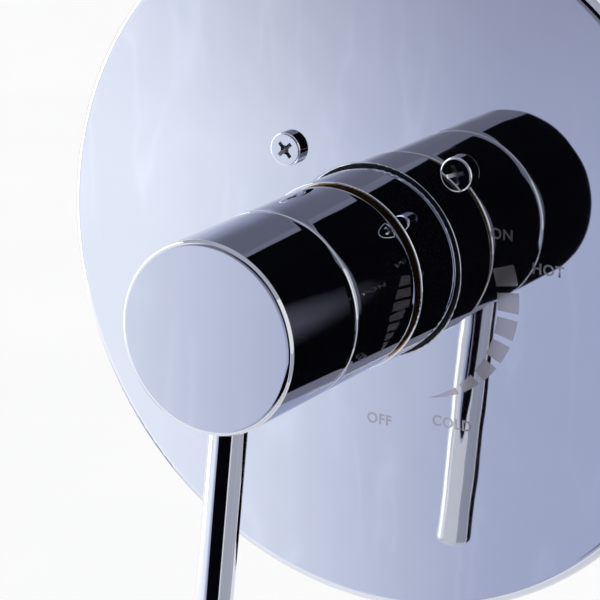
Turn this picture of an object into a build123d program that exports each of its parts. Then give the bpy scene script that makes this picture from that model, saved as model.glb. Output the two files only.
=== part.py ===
from build123d import *
import os
from math import atan2, cos, degrees, hypot, radians, sin

# Pressure balanced shower mixer for a concealed valve, in millimetres.
# The origin is on the handle axis at the finished wall. +Y runs into the wall and +Z is up.
# A station is a distance along Y: negative in the room, positive inside the wall.

# Trim plate and its screws
PLATE_DIAMETER = 178.0
PLATE_DEPTH = 6.0
PLATE_SHEET = 1.2
PLATE_EDGE_RADIUS = 2.6
PLATE_HOLE_CLEARANCE = 0.5
PLATE_HOLE_ROUND = 0.7
GASKET_WIDTH = 7.0
SCREW_SPACING = 47.0
SCREW_RISE = 24.8
SCREW_DIAMETER = 4.8
SCREW_LENGTH = 40.0
SCREW_HOLE_CLEARANCE = 0.5
SCREW_HEAD_DIAMETER = 8.4
SCREW_HEAD_HEIGHT = 2.2
SCREW_HEAD_ROUND = 0.5
CROSS_SPAN = 4.8
CROSS_WIDTH = 1.0
CROSS_CORE = 2.2
CROSS_DEPTH = 2.0
CROSS_TIP = 1.2
CROSS_TURNS = (42.0, 18.0)

# Collar through the plate, behind the handle
COLLAR_DIAMETER = 46.2
COLLAR_REACH = 16.8
COLLAR_ENTRY = 5.0
COLLAR_WALL = 2.5
COLLAR_LIP = 2.2
COLLAR_LIP_HOLE = 28.0
COLLAR_ROUND = 0.35
COLLAR_GASKET = 2.2
COLLAR_GASKET_LAP = 3.0

# Handle, a head over a skirt, with a rod lever
HANDLE_DIAMETER = 45.0
HANDLE_GAP = 2.0
SKIRT_LENGTH = 26.3
SKIRT_WALL = 3.0
SKIRT_CAVITY = 15.2
HEAD_LENGTH = 27.9
HEAD_FACE = 4.0
HEAD_ROUND = 1.3
SEAM_CHAMFER = 0.35
EDGE_ROUND = 0.5
SPIGOT_DIAMETER = 31.0
SPIGOT_LENGTH = 20.3
SPIGOT_BORE = 16.0
LEVER_DIAMETER = 9.0
LEVER_FROM_SEAM = 14.8
LEVER_REACH = 95.0
LEVER_TIP_ROUND = 1.5
LEVER_SEAT = 4.0
LEVER_THREAD_DIAMETER = 6.0
LEVER_THREAD_INSET = 1.0
LEVER_LEAN = 6.0
HUB_DIAMETER = 18.0
HUB_REACH = 6.0
HUB_WALL = 2.6
SPLINE_ENGAGEMENT = 12.4
HANDLE_SCREW_DIAMETER = 4.0
HANDLE_SCREW_HEAD = 7.4
HANDLE_SCREW_HEAD_HEIGHT = 2.8
HANDLE_SCREW_LENGTH = 14.0
WASHER_DIAMETER = 10.0
WASHER_THICKNESS = 1.0

# Stem and its stops
STEM_DIAMETER = 10.0
SPLINE_TEETH = 16
SPLINE_DEPTH = 0.55
SPLINE_RUN_IN = 0.5
STEM_RING_SECTION = 1.1
STEM_RING_STATION = 8.0
FLANGE_DIAMETER = 23.0
FLANGE_THICKNESS = 4.0
DRIVE_LUG = 4.0
DRIVE_LUG_DEPTH = 1.8
DRIVE_LUG_OFFSET = 9.0
DRIVE_LUG_PLAY = 0.15
MOVING_DISC_PLAY = 0.5
TURN_RANGE = 110.0
STOP_MARGIN = 1.5
STOP_LUG_HALF_ANGLE = 14.0
STOP_TAB_ANGLE = 24.0
STOP_HEIGHT = 6.0
STOP_HUB_DIAMETER = 14.0
STOP_GAP = 0.3
LIMIT_RING_WALL = 2.6
PEG_DIAMETER = 2.0
PEG_LENGTH = 3.0

# Cartridge, stacked from the bonnet's clamping face into the wall
BONNET_CLAMP = 12.0
SHELL_DIAMETER = 33.6
SHELL_WALL = 2.6
SHELL_ROOF = 4.0
NECK_DIAMETER = 25.2
NECK_LENGTH = 10.0
THRUST_WASHER = 1.0
DISC_THICKNESS = 4.0
DISC_FILM = 0.02
DISC_SEAL = 1.0
DISC_KEY_WIDTH = 3.0
DISC_KEY_DEPTH = 1.2
HOUSING_HEIGHT = 15.6
FLOOR_GAP = 0.4
CARTRIDGE_RING_SECTION = 1.76
PORT_SEAL_SECTION = 1.76
PORT_SEAL_DIAMETER = 8.8

# Pressure balance unit, across the cartridge
SLEEVE_DIAMETER = 11.0
SLEEVE_BORE = 7.3
SLEEVE_LENGTH = 28.6
SLEEVE_RISE = 3.0
SLEEVE_RING_SECTION = 1.2
SLEEVE_RING_OFFSET = 11.2
SLEEVE_INLET_OFFSET = 7.0
SLEEVE_OUTLET_OFFSET = 5.2
SLEEVE_PORT_DIAMETER = 3.2
PLUG_THICKNESS = 2.0
SPOOL_TRAVEL = 2.3
SPOOL_LAND = 1.95
SPOOL_GROOVE = 5.0
SPOOL_GROOVE_DEPTH = 1.1
SPOOL_BORE = 2.4
SPOOL_CLEARANCE = 0.05

# Waterways of the cartridge, placed across and up as seen from the room
SUPPLY_OFFSET = 10.0
SUPPLY_DIAMETER = 6.4
TOP_PORT_PLACE = (5.2, 6.2)
TOP_PORT_DIAMETER = 4.6
MIXED_DROP = 8.5
MIXED_DIAMETER = 6.0
DISC_PORT_INNER = 6.0
DISC_PORT_OUTER = 11.0
DISC_PORT_START = 10.0
DISC_PORT_END = 50.0
POCKET_INNER = 6.2
POCKET_OUTER = 12.0
POCKET_DEPTH = 2.2
POCKET_INLET = (-19.0, 41.0)
POCKET_OUTLET = (151.0, 291.0)

# Cast valve body
BODY_WALL = 4.5
PASSAGE_DIAMETER = 13.0
PASSAGE_FLOOR = 5.5
PASSAGE_OVERRUN = 0.8
CROSSING_DIAMETER = 9.0
CHAMBER_CLEARANCE = 0.2
BODY_THREAD_WALL = 3.4
BODY_THREAD_LENGTH = 13.0
BODY_CHAMFER = 1.0
CLAMP_DRAW = 2.0
BODY_SHOULDER = 3.0
BODY_SHOULDER_STEP = 2.5
BODY_BACK_STEP = 4.5
BODY_BACK_ROUND = 1.5
ARM_DIAMETER = 26.0
ARM_HEX = 27.0
ARM_HEX_START = 40.0
ARM_HEX_LENGTH = 8.0
PORT_THREAD_DIAMETER = 20.9
PORT_THREAD_LENGTH = 18.0
PORT_CHAMFER = 1.2
CAST_ROUND = 2.0
LUG_DIAMETER = 11.0
LUG_FRONT = 18.0
LUG_WEB = 7.0
EAR_SPACING = 50.0
EAR_DROP = 25.0
EAR_DIAMETER = 13.0
EAR_THICKNESS = 6.0
EAR_HOLE = 4.8
EAR_WEB = 10.0

# Bonnet nut
BONNET_HEX = 45.0
BONNET_HEX_LENGTH = 17.0
BONNET_NECK_CLEARANCE = 0.4
BONNET_NECK_WALL = 3.7
BONNET_LIP = 4.0
BONNET_LIP_CLEARANCE = 0.4
BONNET_FRONT_GAP = 0.6
COLLAR_RING_SECTION = 1.86
COLLAR_RING_OFFSET = 8.0

# Fits: radial play of turning parts, assembled parts, rings and threads, and spare depth of taps
RUNNING_FIT = 0.06
ASSEMBLY_FIT = 0.1
RING_PLAY = 0.02
THREAD_FIT = 0.05
TAP_RUNOUT = 3.0

# Stations of the trim, from the wall into the room
plate_front = -PLATE_DEPTH
plate_back = plate_front + PLATE_SHEET
collar_rear = plate_front + COLLAR_ENTRY
collar_front = plate_front - COLLAR_REACH
skirt_rear = collar_front - HANDLE_GAP
seam = skirt_rear - SKIRT_LENGTH
head_front = seam - HEAD_LENGTH
lever_station = seam - LEVER_FROM_SEAM
web_rear = skirt_rear - SKIRT_CAVITY
hub_rear = web_rear + HUB_REACH
spigot_front = seam - SPIGOT_LENGTH
stem_end = hub_rear - SPLINE_ENGAGEMENT
screw_seat = stem_end - HUB_WALL
screw_under_head = screw_seat - WASHER_THICKNESS

# Stations of the valve, from the clamping face into the wall
roof_inside = BONNET_CLAMP + SHELL_ROOF
flange_front = roof_inside + THRUST_WASHER
moving_disc_front = flange_front + FLANGE_THICKNESS
fixed_disc_front = moving_disc_front + DISC_THICKNESS
seal_front = fixed_disc_front + DISC_THICKNESS
housing_front = seal_front + DISC_SEAL
housing_back = housing_front + HOUSING_HEIGHT
sleeve_station = (housing_front + housing_back) / 2
chamber_floor = housing_back + FLOOR_GAP
port_station = chamber_floor + PASSAGE_FLOOR + PASSAGE_DIAMETER / 2
body_back = port_station + ARM_DIAMETER / 2 + BODY_BACK_STEP
body_front = BONNET_CLAMP + CLAMP_DRAW
neck_front = BONNET_CLAMP - NECK_LENGTH
stop_front = neck_front - STOP_HEIGHT
stop_back = neck_front - STOP_GAP
shoulder_front = body_front + BODY_THREAD_LENGTH
shoulder_back = shoulder_front + BODY_SHOULDER
bonnet_front = collar_front + COLLAR_LIP + BONNET_FRONT_GAP
bonnet_hex_front = BONNET_CLAMP - BONNET_LIP
collar_ring_station = bonnet_front + COLLAR_RING_OFFSET
cartridge_ring_station = (roof_inside + fixed_disc_front) / 2
screw_tip = plate_front + SCREW_LENGTH

# Radii that several pieces share
handle_radius = HANDLE_DIAMETER / 2
collar_bore = COLLAR_DIAMETER / 2 - COLLAR_WALL
bonnet_neck = collar_bore - BONNET_NECK_CLEARANCE
bonnet_bore = bonnet_neck - BONNET_NECK_WALL
plate_hole = COLLAR_DIAMETER / 2 + PLATE_HOLE_CLEARANCE
shell_radius = SHELL_DIAMETER / 2
shell_cavity = shell_radius - SHELL_WALL
chamber_radius = shell_radius + CHAMBER_CLEARANCE
body_thread = chamber_radius + BODY_THREAD_WALL
barrel_radius = chamber_radius + BODY_WALL
stem_radius = STEM_DIAMETER / 2
stem_bore = stem_radius + RUNNING_FIT
neck_radius = NECK_DIAMETER / 2
disc_radius = shell_cavity - ASSEMBLY_FIT
sleeve_radius = SLEEVE_DIAMETER / 2
sleeve_bore = SLEEVE_BORE / 2
plug_face = SLEEVE_LENGTH / 2 - PLUG_THICKNESS
spool_half = plug_face - SPOOL_TRAVEL - SPOOL_CLEARANCE
spool_radius = sleeve_bore - SPOOL_CLEARANCE
spigot_radius = SPIGOT_DIAMETER / 2
lever_shoulder = handle_radius - LEVER_SEAT
lever_inner_end = SPIGOT_BORE / 2 + LEVER_THREAD_INSET
port_end = ARM_HEX_START + ARM_HEX_LENGTH + PORT_THREAD_LENGTH
supply_places = [(-SUPPLY_OFFSET, SLEEVE_RISE), (SUPPLY_OFFSET, SLEEVE_RISE)]
mixed_place = (0, -MIXED_DROP)
passage_stop = SUPPLY_OFFSET - SUPPLY_DIAMETER / 2 - PASSAGE_OVERRUN
screw_places = [(-SCREW_SPACING / 2, SCREW_RISE), (SCREW_SPACING / 2, SCREW_RISE)]
ear_places = [(-EAR_SPACING / 2, -EAR_DROP), (EAR_SPACING / 2, -EAR_DROP)]
ALONG = (Align.CENTER, Align.CENTER, Align.MIN)


def along_y(radius, start, end, across=0.0, up=0.0):
    """Round bar between two stations."""
    return Pos(across, start, up) * Rot(X=-90) * Cylinder(radius, end - start, align=ALONG)


def along_x(radius, start, end, station=0.0):
    """Round bar from left to right."""
    return Pos(start, station, 0) * Rot(Y=90) * Cylinder(radius, end - start, align=ALONG)


def slab(outline, start, end):
    """Outline as seen from the room, extruded between two stations."""
    return extrude(Plane.XZ.offset(-end) * outline, amount=end - start)


def turned(*points, rounds={}, axis=Axis.Y):
    """Closed profile turned about an axis, with some corners rounded: corner number to radius."""
    profile = make_face(Polyline(*points, close=True))
    for corner, radius in rounds.items():
        nearest = profile.vertices().sort_by_distance(Vector(*points[corner], 0))[0]
        profile = fillet(nearest, radius)
    return revolve(profile, axis=axis)


def tube(inner, outer, start, end):
    """Plain ring between two stations."""
    return turned((inner, start), (outer, start), (outer, end), (inner, end))


def o_ring(middle_radius, section, station, across=0.0, up=0.0):
    """Round-section ring about an axis along Y."""
    return Pos(across, station, up) * Rot(X=90) * Torus(middle_radius, section / 2)


def pie(radius, start_angle, end_angle):
    """Slice of a circle, between two angles counted from the right towards up."""
    angles = (start_angle, (start_angle + end_angle) / 2, end_angle)
    corners = [(2 * radius * cos(radians(a)), 2 * radius * sin(radians(a))) for a in angles]
    return Circle(radius) & make_face(Polyline((0, 0), *corners, close=True))


def sector(inner, outer, start_angle, end_angle):
    """Part of a flat ring, between two angles."""
    return pie(outer, start_angle, end_angle) - Circle(inner)


def spline_outline(play=0.0):
    """Toothed outline of the stem, enlarged by a play for the bores that fit over it."""
    tip = stem_radius + play
    root = stem_radius - SPLINE_DEPTH + play
    step = 360 / (2 * SPLINE_TEETH)
    points = []
    for k in range(2 * SPLINE_TEETH):
        r = root if k % 2 else tip
        points.append((r * cos(radians(k * step)), r * sin(radians(k * step))))
    return make_face(Polyline(*points, close=True))


def web(place, thickness, start, end):
    """Rib from the valve axis out to a boss."""
    across, up = place
    rib = Pos(across / 2, up / 2) * Rot(Z=degrees(atan2(up, across)))
    return slab(rib * Rectangle(hypot(across, up), thickness), start, end)


def make_plate():
    edge = PLATE_DIAMETER / 2
    sheet = turned(
        (plate_hole, plate_front),
        (edge, plate_front),
        (edge, 0),
        (edge - PLATE_SHEET, 0),
        (edge - PLATE_SHEET, plate_back),
        (plate_hole, plate_back),
        rounds={0: PLATE_HOLE_ROUND, 1: PLATE_EDGE_RADIUS, 4: PLATE_EDGE_RADIUS - PLATE_SHEET},
    )
    hole = (SCREW_DIAMETER + SCREW_HOLE_CLEARANCE) / 2
    for across, up in screw_places:
        sheet -= along_y(hole, plate_front, plate_back, across, up)
    return sheet


def make_plate_gasket():
    outer = PLATE_DIAMETER / 2 - PLATE_EDGE_RADIUS
    return tube(outer - GASKET_WIDTH, outer, plate_back, 0)


def cross_recess(top):
    """Cross slot of a screw head, narrowing from the station of the head's top."""
    wing = Rectangle(2 * CROSS_SPAN, CROSS_WIDTH)
    cross = wing + Rot(Z=90) * wing + Rot(Z=45) * Rectangle(CROSS_CORE, CROSS_CORE)
    bottom = top + CROSS_DEPTH
    bit = turned((0, top), (CROSS_SPAN / 2, top), (CROSS_TIP / 2, bottom), (0, bottom))
    return slab(cross, top, bottom) & bit


def make_plate_screws():
    head = SCREW_HEAD_DIAMETER / 2
    top = plate_front - SCREW_HEAD_HEIGHT
    shank = SCREW_DIAMETER / 2
    screw = turned(
        (0, top),
        (head, top),
        (head, plate_front),
        (shank, plate_front),
        (shank, plate_front + SCREW_LENGTH),
        (0, plate_front + SCREW_LENGTH),
        rounds={1: SCREW_HEAD_ROUND},
    )
    screw -= cross_recess(top)
    return Compound(children=[
        Pos(across, 0, up) * Rot(Y=-turn) * screw for (across, up), turn in zip(screw_places, CROSS_TURNS)
    ])


def make_collar():
    outer = COLLAR_DIAMETER / 2
    hole = COLLAR_LIP_HOLE / 2
    lip = collar_front + COLLAR_LIP
    return turned(
        (hole, collar_front),
        (outer, collar_front),
        (outer, collar_rear),
        (collar_bore, collar_rear),
        (collar_bore, lip),
        (hole, lip),
        rounds={1: COLLAR_ROUND, 2: EDGE_ROUND},
    )


def make_collar_gasket():
    inner = COLLAR_DIAMETER / 2 + RING_PLAY
    return tube(inner, plate_hole + COLLAR_GASKET_LAP, plate_back, plate_back + COLLAR_GASKET)


def hanging_bar(radius, start, end):
    """Round bar at the lever's station, from one distance below the handle axis to another."""
    return Pos(0, lever_station, -end) * Cylinder(radius, end - start, align=ALONG)


def make_skirt():
    wall_inside = handle_radius - SKIRT_WALL
    hub = HUB_DIAMETER / 2
    skirt = turned(
        (0, screw_seat),
        (SPIGOT_BORE / 2, screw_seat),
        (SPIGOT_BORE / 2, spigot_front),
        (spigot_radius, spigot_front),
        (spigot_radius, seam),
        (handle_radius - SEAM_CHAMFER, seam),
        (handle_radius, seam + SEAM_CHAMFER),
        (handle_radius, skirt_rear),
        (wall_inside, skirt_rear),
        (wall_inside, web_rear),
        (hub, web_rear),
        (hub, hub_rear),
        (0, hub_rear),
        rounds={7: EDGE_ROUND, 9: EDGE_ROUND},
    )
    skirt -= slab(spline_outline(ASSEMBLY_FIT), stem_end, hub_rear)
    skirt -= along_y(HANDLE_SCREW_DIAMETER / 2 + ASSEMBLY_FIT, screw_seat, stem_end)
    return skirt - hanging_bar(LEVER_THREAD_DIAMETER / 2 + THREAD_FIT, 0, spigot_radius)


def make_head():
    bore = spigot_radius + ASSEMBLY_FIT
    head = turned(
        (0, head_front),
        (handle_radius, head_front),
        (handle_radius, seam - SEAM_CHAMFER),
        (handle_radius - SEAM_CHAMFER, seam),
        (bore, seam),
        (bore, head_front + HEAD_FACE),
        (0, head_front + HEAD_FACE),
        rounds={1: HEAD_ROUND},
    )
    head -= hanging_bar(LEVER_DIAMETER / 2 + ASSEMBLY_FIT, lever_shoulder, HANDLE_DIAMETER)
    return head - hanging_bar(LEVER_THREAD_DIAMETER / 2 + ASSEMBLY_FIT, 0, lever_shoulder)


def make_lever():
    rod = hanging_bar(LEVER_DIAMETER / 2, lever_shoulder, LEVER_REACH)
    rod = fillet(rod.edges().group_by(Axis.Z)[0], LEVER_TIP_ROUND)
    return rod + hanging_bar(LEVER_THREAD_DIAMETER / 2, lever_inner_end, lever_shoulder)


def make_handle_screw():
    head = HANDLE_SCREW_HEAD / 2
    shank = HANDLE_SCREW_DIAMETER / 2
    top = screw_under_head - HANDLE_SCREW_HEAD_HEIGHT
    tip = screw_under_head + HANDLE_SCREW_LENGTH
    screw = turned(
        (0, top),
        (head, top),
        (head, screw_under_head),
        (shank, screw_under_head),
        (shank, tip),
        (0, tip),
        rounds={1: SCREW_HEAD_ROUND},
    )
    return screw - cross_recess(top)


def make_handle_washer():
    hole = HANDLE_SCREW_DIAMETER / 2 + ASSEMBLY_FIT
    return tube(hole, WASHER_DIAMETER / 2, screw_under_head, screw_seat)


def stem_ring_radius():
    """Middle radius of the stem's ring, squeezed against the bore of the cartridge neck."""
    return stem_bore - RING_PLAY - STEM_RING_SECTION / 2


def drive_lugs(play=0.0):
    """The two driving lugs of the stem, enlarged by a play for the slots that take them."""
    side = DRIVE_LUG + 2 * play
    pair = [Pos(x, 0) * Rectangle(side, side) for x in (-DRIVE_LUG_OFFSET, DRIVE_LUG_OFFSET)]
    return slab(pair[0] + pair[1], moving_disc_front, moving_disc_front + DRIVE_LUG_DEPTH + play)


def make_stem():
    spline_end = neck_front + SPLINE_RUN_IN
    groove = stem_ring_radius() - STEM_RING_SECTION / 2 - RING_PLAY
    half = STEM_RING_SECTION / 2 + ASSEMBLY_FIT
    stem = turned(
        (0, spline_end),
        (stem_radius, spline_end),
        (stem_radius, STEM_RING_STATION - half),
        (groove, STEM_RING_STATION - half),
        (groove, STEM_RING_STATION + half),
        (stem_radius, STEM_RING_STATION + half),
        (stem_radius, flange_front),
        (FLANGE_DIAMETER / 2, flange_front),
        (FLANGE_DIAMETER / 2, moving_disc_front),
        (0, moving_disc_front),
    )
    stem += slab(spline_outline(), stem_end, spline_end)
    stem += drive_lugs()
    tapped = HANDLE_SCREW_DIAMETER / 2 + THREAD_FIT
    return stem - along_y(tapped, stem_end, screw_under_head + HANDLE_SCREW_LENGTH + TAP_RUNOUT)


def make_stem_ring():
    return o_ring(stem_ring_radius(), STEM_RING_SECTION, STEM_RING_STATION)


def make_moving_disc():
    back = fixed_disc_front - DISC_FILM
    disc = along_y(shell_cavity - MOVING_DISC_PLAY, moving_disc_front, back)
    pocket = Circle(POCKET_INNER)
    for start, end in (POCKET_INLET, POCKET_OUTLET):
        pocket += pie(POCKET_OUTER, start, end)
    return disc - drive_lugs(DRIVE_LUG_PLAY) - slab(pocket, back - POCKET_DEPTH, back)


def disc_ports():
    """Outline of the cold, hot and mixed ports that the discs share."""
    cold = sector(DISC_PORT_INNER, DISC_PORT_OUTER, 90 - DISC_PORT_END, 90 - DISC_PORT_START)
    hot = sector(DISC_PORT_INNER, DISC_PORT_OUTER, 90 + DISC_PORT_START, 90 + DISC_PORT_END)
    return cold + hot + Pos(*mixed_place) * Circle(MIXED_DIAMETER / 2)


def disc_keys(play=0.0):
    """The two keys inside the shell, enlarged by a play for the notches that take them."""
    reach = shell_cavity - DISC_KEY_DEPTH - play
    bar = Rectangle(2 * shell_cavity, DISC_KEY_WIDTH + 2 * play) - Circle(reach)
    return bar & Circle(shell_cavity + play)


def make_fixed_disc():
    outline = Circle(disc_radius) - disc_keys(ASSEMBLY_FIT) - disc_ports()
    return slab(outline, fixed_disc_front, seal_front)


def make_disc_seal():
    return slab(Circle(disc_radius) - disc_keys(ASSEMBLY_FIT) - disc_ports(), seal_front, housing_front)


def make_thrust_washer():
    return tube(stem_bore, FLANGE_DIAMETER / 2, roof_inside, flange_front - RUNNING_FIT)


def cartridge_ring_radius():
    """Middle radius of the ring squeezed between cartridge and chamber."""
    return chamber_radius - RING_PLAY - CARTRIDGE_RING_SECTION / 2


def make_shell():
    groove = cartridge_ring_radius() - CARTRIDGE_RING_SECTION / 2 - RING_PLAY
    half = CARTRIDGE_RING_SECTION / 2 + ASSEMBLY_FIT
    shell = turned(
        (stem_bore, neck_front),
        (neck_radius, neck_front),
        (neck_radius, BONNET_CLAMP),
        (shell_radius, BONNET_CLAMP),
        (shell_radius, cartridge_ring_station - half),
        (groove, cartridge_ring_station - half),
        (groove, cartridge_ring_station + half),
        (shell_radius, cartridge_ring_station + half),
        (shell_radius, housing_front),
        (shell_cavity, housing_front),
        (shell_cavity, roof_inside),
        (stem_bore, roof_inside),
    )
    shell += slab(disc_keys(), fixed_disc_front, housing_front)
    for side in (-1, 1):
        place = side * (neck_radius - LIMIT_RING_WALL / 2)
        shell -= along_y(PEG_DIAMETER / 2 + THREAD_FIT, neck_front, neck_front + PEG_LENGTH, place)
    return shell


def make_cartridge_ring():
    return o_ring(cartridge_ring_radius(), CARTRIDGE_RING_SECTION, cartridge_ring_station)


def make_limit_ring():
    inner = neck_radius - LIMIT_RING_WALL
    reach = STOP_LUG_HALF_ANGLE + STOP_MARGIN
    off_stop = 90 - LEVER_LEAN - reach
    hot_stop = 90 - LEVER_LEAN + TURN_RANGE + reach
    tab_inner = STOP_HUB_DIAMETER / 2 + STOP_GAP
    outline = Circle(neck_radius) - Circle(inner)
    outline += sector(tab_inner, neck_radius, off_stop - STOP_TAB_ANGLE, off_stop)
    outline += sector(tab_inner, neck_radius, hot_stop, hot_stop + STOP_TAB_ANGLE)
    ring = slab(outline, stop_front, neck_front)
    for side in (-1, 1):
        place = side * (neck_radius - LIMIT_RING_WALL / 2)
        ring += along_y(PEG_DIAMETER / 2, neck_front, neck_front + PEG_LENGTH, place)
    return ring


def make_stop_collar():
    tip = neck_radius - LIMIT_RING_WALL - STOP_GAP
    lug = pie(tip, 90 - STOP_LUG_HALF_ANGLE, 90 + STOP_LUG_HALF_ANGLE)
    outline = Circle(STOP_HUB_DIAMETER / 2) + lug - spline_outline(ASSEMBLY_FIT)
    return slab(outline, stop_front, stop_back)


def across_bar(radius, start, end):
    """Round bar along the balance unit's axis."""
    return Pos(0, 0, SLEEVE_RISE) * along_x(radius, start, end, sleeve_station)


def across_turned(*points):
    """Profile of (place across, radius) turned about the balance unit's axis."""
    return Pos(0, sleeve_station, SLEEVE_RISE) * turned(*points, axis=Axis.X)


def make_housing():
    housing = along_y(shell_radius, housing_front, housing_back)
    housing -= across_bar(sleeve_radius + ASSEMBLY_FIT, -shell_radius, shell_radius)
    seat = PORT_SEAL_DIAMETER / 2 + PORT_SEAL_SECTION / 2 + RING_PLAY
    seat_floor = chamber_floor - PORT_SEAL_SECTION - 2 * RING_PLAY
    for place in supply_places:
        housing -= along_y(SUPPLY_DIAMETER / 2, sleeve_station, housing_back, *place)
        housing -= along_y(seat, seat_floor, housing_back, *place)
    for side in (-1, 1):
        across, up = TOP_PORT_PLACE
        housing -= along_y(TOP_PORT_DIAMETER / 2, housing_front, sleeve_station, side * across, up)
    housing -= along_y(MIXED_DIAMETER / 2, housing_front, housing_back, *mixed_place)
    return housing - along_y(seat, seat_floor, housing_back, *mixed_place)


def make_port_seals():
    station = chamber_floor - RING_PLAY - PORT_SEAL_SECTION / 2
    places = [*supply_places, mixed_place]
    return Compound(children=[
        o_ring(PORT_SEAL_DIAMETER / 2, PORT_SEAL_SECTION, station, *place) for place in places
    ])


def sleeve_ring_radius():
    """Middle radius of the rings squeezed between sleeve and housing."""
    return sleeve_radius + ASSEMBLY_FIT - RING_PLAY - SLEEVE_RING_SECTION / 2


def sleeve_ring_places():
    return (-SLEEVE_RING_OFFSET, 0, SLEEVE_RING_OFFSET)


def make_sleeve():
    half = SLEEVE_LENGTH / 2
    sleeve = across_bar(sleeve_radius, -half, half) - across_bar(sleeve_bore, -half, half)
    groove = sleeve_ring_radius() - SLEEVE_RING_SECTION / 2 - RING_PLAY
    groove_half = SLEEVE_RING_SECTION / 2 + THREAD_FIT
    for place in sleeve_ring_places():
        cut = across_bar(2 * sleeve_radius, place - groove_half, place + groove_half)
        sleeve -= cut - across_bar(groove, place - groove_half, place + groove_half)
    port = SLEEVE_PORT_DIAMETER / 2
    for side in (-1, 1):
        inlet = side * SLEEVE_INLET_OFFSET
        outlet = side * SLEEVE_OUTLET_OFFSET
        sleeve -= along_y(port, sleeve_station, housing_back, inlet, SLEEVE_RISE)
        sleeve -= along_y(port, housing_front, sleeve_station, outlet, SLEEVE_RISE)
    return sleeve


def make_sleeve_rings():
    ring = Rot(Y=90) * Torus(sleeve_ring_radius(), SLEEVE_RING_SECTION / 2)
    return Compound(children=[
        Pos(place, sleeve_station, SLEEVE_RISE) * ring for place in sleeve_ring_places()
    ])


def make_sleeve_plugs():
    radius = sleeve_bore - RING_PLAY
    half = SLEEVE_LENGTH / 2
    return Compound(children=[
        across_bar(radius, -half, -plug_face),
        across_bar(radius, plug_face, half),
    ])


def make_spool():
    root = spool_radius - SPOOL_GROOVE_DEPTH
    land = spool_half - SPOOL_LAND
    groove = land - SPOOL_GROOVE
    spool = across_turned(
        (-spool_half, 0),
        (-spool_half, spool_radius),
        (-land, spool_radius),
        (-land, root),
        (-groove, root),
        (-groove, spool_radius),
        (groove, spool_radius),
        (groove, root),
        (land, root),
        (land, spool_radius),
        (spool_half, spool_radius),
        (spool_half, 0),
    )
    bore = SPOOL_BORE / 2
    return spool - across_bar(bore, -spool_half, -groove) - across_bar(bore, groove, spool_half)


def make_body():
    barrel = turned(
        (0, body_front),
        (body_thread - BODY_CHAMFER, body_front),
        (body_thread, body_front + BODY_CHAMFER),
        (body_thread, shoulder_front),
        (barrel_radius + BODY_SHOULDER_STEP, shoulder_front),
        (barrel_radius + BODY_SHOULDER_STEP, shoulder_back),
        (barrel_radius, shoulder_back),
        (barrel_radius, body_back),
        (0, body_back),
        rounds={7: BODY_BACK_ROUND},
    )
    hex_end = ARM_HEX_START + ARM_HEX_LENGTH
    thread = PORT_THREAD_DIAMETER / 2
    arm = along_x(ARM_DIAMETER / 2, 0, ARM_HEX_START)
    flats = RegularPolygon(ARM_HEX / 2, 6, major_radius=False)
    arm += extrude(Plane.YZ.offset(ARM_HEX_START) * flats, amount=ARM_HEX_LENGTH)
    arm += turned(
        (hex_end, 0),
        (hex_end, thread),
        (port_end - PORT_CHAMFER, thread),
        (port_end, thread - PORT_CHAMFER),
        (port_end, 0),
        axis=Axis.X,
    )
    body = barrel
    for turn in (0, 90, 180, 270):
        body += Pos(0, port_station, 0) * Rot(Y=turn) * arm
    joints = body.edges().filter_by(GeomType.BSPLINE)
    body = fillet(joints, CAST_ROUND)
    for place in screw_places:
        body += web(place, LUG_WEB, shoulder_front, chamber_floor)
        body += along_y(LUG_DIAMETER / 2, LUG_FRONT, chamber_floor, *place)
    for place in ear_places:
        body += web(place, EAR_WEB, body_back - EAR_THICKNESS, body_back)
        body += along_y(EAR_DIAMETER / 2, body_back - EAR_THICKNESS, body_back, *place)
        body -= along_y(EAR_HOLE / 2, body_back - EAR_THICKNESS, body_back, *place)
    body -= along_y(chamber_radius, body_front, chamber_floor)
    for place in screw_places:
        body -= along_y(SCREW_DIAMETER / 2 + THREAD_FIT, LUG_FRONT, screw_tip + TAP_RUNOUT, *place)
    for place in supply_places:
        body -= along_y(SUPPLY_DIAMETER / 2, chamber_floor, port_station, *place)
    body -= along_y(MIXED_DIAMETER / 2, chamber_floor, port_station, *mixed_place)
    passage = along_x(PASSAGE_DIAMETER / 2, passage_stop, port_end)
    for turn in (0, 90, 180, 270):
        body -= Pos(0, port_station, 0) * Rot(Y=turn) * passage
    crossing = Cylinder(CROSSING_DIAMETER / 2, 2 * ARM_HEX_START)
    return body - Pos(0, port_station, 0) * crossing


def make_bonnet():
    hex_back = bonnet_hex_front + BONNET_HEX_LENGTH
    ring = collar_bore - RING_PLAY - COLLAR_RING_SECTION / 2
    groove = ring - COLLAR_RING_SECTION / 2 - RING_PLAY
    half = COLLAR_RING_SECTION / 2 + ASSEMBLY_FIT
    bonnet = turned(
        (bonnet_bore, bonnet_front),
        (bonnet_neck, bonnet_front),
        (bonnet_neck, collar_ring_station - half),
        (groove, collar_ring_station - half),
        (groove, collar_ring_station + half),
        (bonnet_neck, collar_ring_station + half),
        (bonnet_neck, BONNET_CLAMP),
        (bonnet_bore, BONNET_CLAMP),
    )
    bonnet += slab(RegularPolygon(BONNET_HEX / 2, 6, major_radius=False), bonnet_hex_front, hex_back)
    bonnet -= along_y(bonnet_bore, bonnet_front, bonnet_hex_front)
    bonnet -= along_y(neck_radius + BONNET_LIP_CLEARANCE, bonnet_hex_front, BONNET_CLAMP)
    return bonnet - along_y(body_thread + ASSEMBLY_FIT, BONNET_CLAMP, hex_back)


def make_collar_ring():
    ring = collar_bore - RING_PLAY - COLLAR_RING_SECTION / 2
    return o_ring(ring, COLLAR_RING_SECTION, collar_ring_station)


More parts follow.
